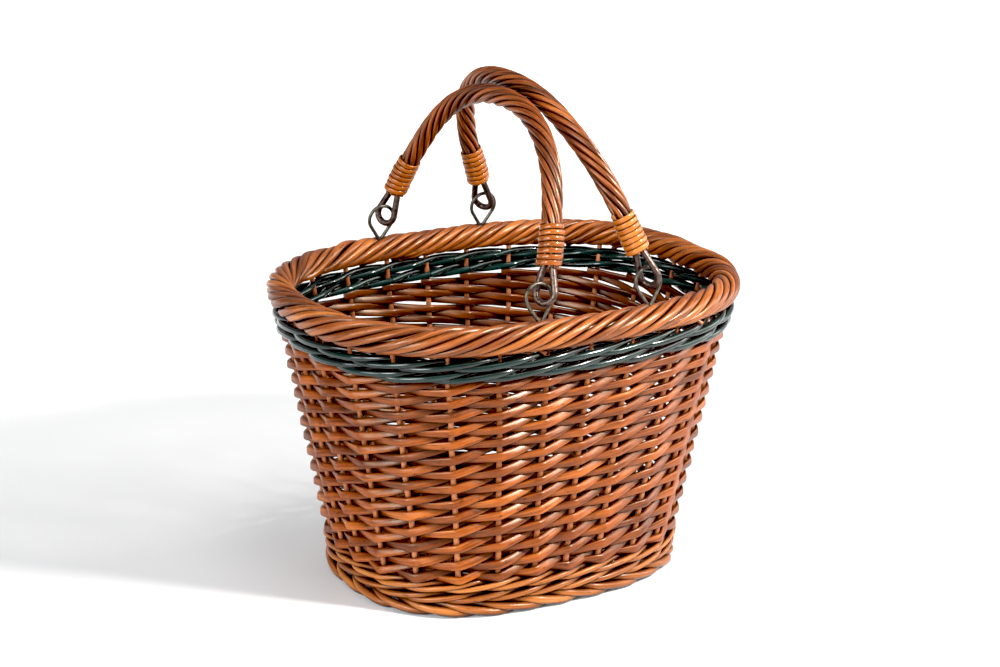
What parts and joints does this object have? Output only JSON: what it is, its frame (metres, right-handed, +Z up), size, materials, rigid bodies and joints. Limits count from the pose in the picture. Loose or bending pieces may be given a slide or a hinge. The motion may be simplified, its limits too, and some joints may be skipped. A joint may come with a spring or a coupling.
{
  "type": "woven wicker basket",
  "caption": "Oval woven willow shopping basket with flared sides, a dark green band under a thick twisted rim, and leaning twisted bow handles that swing on wire eyes.",
  "frame": {"origin": "on the floor under the middle of the basket", "axes": "+Z up, +X along the long side of the oval, +Y along its short side towards the back"},
  "size_m": [0.4238, 0.3254, 0.4569],
  "materials": {
    "side_willow": "varnished reddish brown willow, glossy",
    "rim_willow": "varnished reddish brown willow, glossy",
    "foot_willow": "varnished golden brown willow, glossy",
    "base_willow": "varnished brown willow, satin",
    "stake_willow": "varnished light brown willow, satin",
    "green_willow": "dyed very dark bottle green willow, glossy",
    "handle_willow": "varnished reddish brown willow, glossy",
    "binding_cane": "varnished golden split cane, glossy",
    "rim_wire": "dull dark brownish grey wire",
    "handle_wire": "dark brownish wire with a worn sheen"
  },
  "bodies": {
    "basket": {"base_long_sticks": "stake_willow", "base_cross_sticks": "stake_willow", "base_weave": "base_willow", "foot_border": "foot_willow", "upsett_wale": "foot_willow", "side_stakes": "stake_willow", "side_weave": "side_willow", "green_wale_lower": "green_willow", "green_wale_upper": "green_willow", "rim_border": "rim_willow", "rim_eye_left_back": "rim_wire", "rim_eye_left_front": "rim_wire", "rim_eye_right_back": "rim_wire", "rim_eye_right_front": "rim_wire"},
    "left_handle": {"handle_eye_left_back": "handle_wire", "binding_left_back": "binding_cane", "handle_eye_left_front": "handle_wire", "binding_left_front": "binding_cane", "handle_rope_left": "handle_willow", "handle_core_left": "stake_willow"},
    "right_handle": {"handle_eye_right_back": "handle_wire", "binding_right_back": "binding_cane", "handle_eye_right_front": "handle_wire", "binding_right_front": "binding_cane", "handle_rope_right": "handle_willow", "handle_core_right": "stake_willow"}
  },
  "joints": [
    {"name": "left_handle_swing", "type": "hinge", "parent": "basket", "child": "left_handle", "pos_m": [-0.051, 0, 0.2964], "axis": [0, -1, 0], "range_deg": [0, 110]},
    {"name": "right_handle_swing", "type": "hinge", "parent": "basket", "child": "right_handle", "pos_m": [0.058, 0, 0.2964], "axis": [0, 1, 0], "range_deg": [0, 112]}
  ]
}
